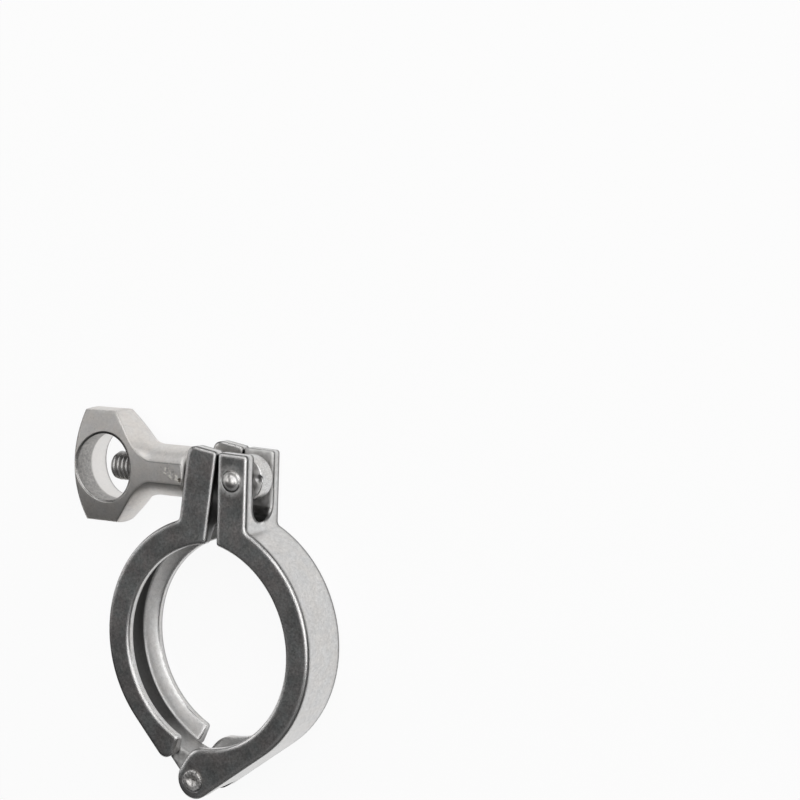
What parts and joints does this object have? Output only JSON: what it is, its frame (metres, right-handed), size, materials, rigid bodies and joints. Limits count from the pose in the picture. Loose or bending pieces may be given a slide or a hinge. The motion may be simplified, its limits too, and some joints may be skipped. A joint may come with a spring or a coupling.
{
  "type": "sanitary hinged clamp",
  "caption": "Hinged ring clamp in stainless steel for sanitary pipe ferrules: grooved halves on a hinge pin, drawn together by a swing bolt and a wing nut.",
  "frame": {"origin": "centre of the fixed half's groove: on the pipe's axis, midway between the front and the back face", "axes": "+Z along the pipe's axis, out of the front face where the pins' heads are formed; +Y from the hinge towards the ears; the wing nut points along -X; the clamp lies on its back face"},
  "size_m": [0.0791, 0.1023, 0.0165],
  "materials": {
    "cast_steel": "tumbled satin",
    "pin_steel": "turned",
    "bolt_steel": "rolled thread",
    "nut_steel": "tumbled satin"
  },
  "bodies": {
    "right_half": {"right_half": "cast_steel", "hinge_pin": "pin_steel", "pivot_pin": "pin_steel"},
    "left_half": {"left_half": "cast_steel"},
    "swing_bolt": {"swing_bolt": "bolt_steel"},
    "wing_nut": {"wing_nut": "nut_steel"}
  },
  "joints": [
    {"name": "half_open", "type": "hinge", "parent": "right_half", "child": "left_half", "pos_m": [-0.0003, -0.0374, 0], "axis": [0, 0, 1], "range_deg": [0, 60]},
    {"name": "bolt_swing", "type": "hinge", "parent": "right_half", "child": "swing_bolt", "pos_m": [0.0098, 0.0454, 0], "axis": [0, 0, -1], "range_deg": [0, 200]},
    {"name": "nut_travel", "type": "slide", "parent": "swing_bolt", "child": "wing_nut", "axis": [-0.9995, -0.0314, 0], "range_m": [0, 0.0885]}
  ],
  "couplings": [
    {"joint": "nut_travel", "follows": "half_open", "m_per_rad": 0.083079}
  ]
}
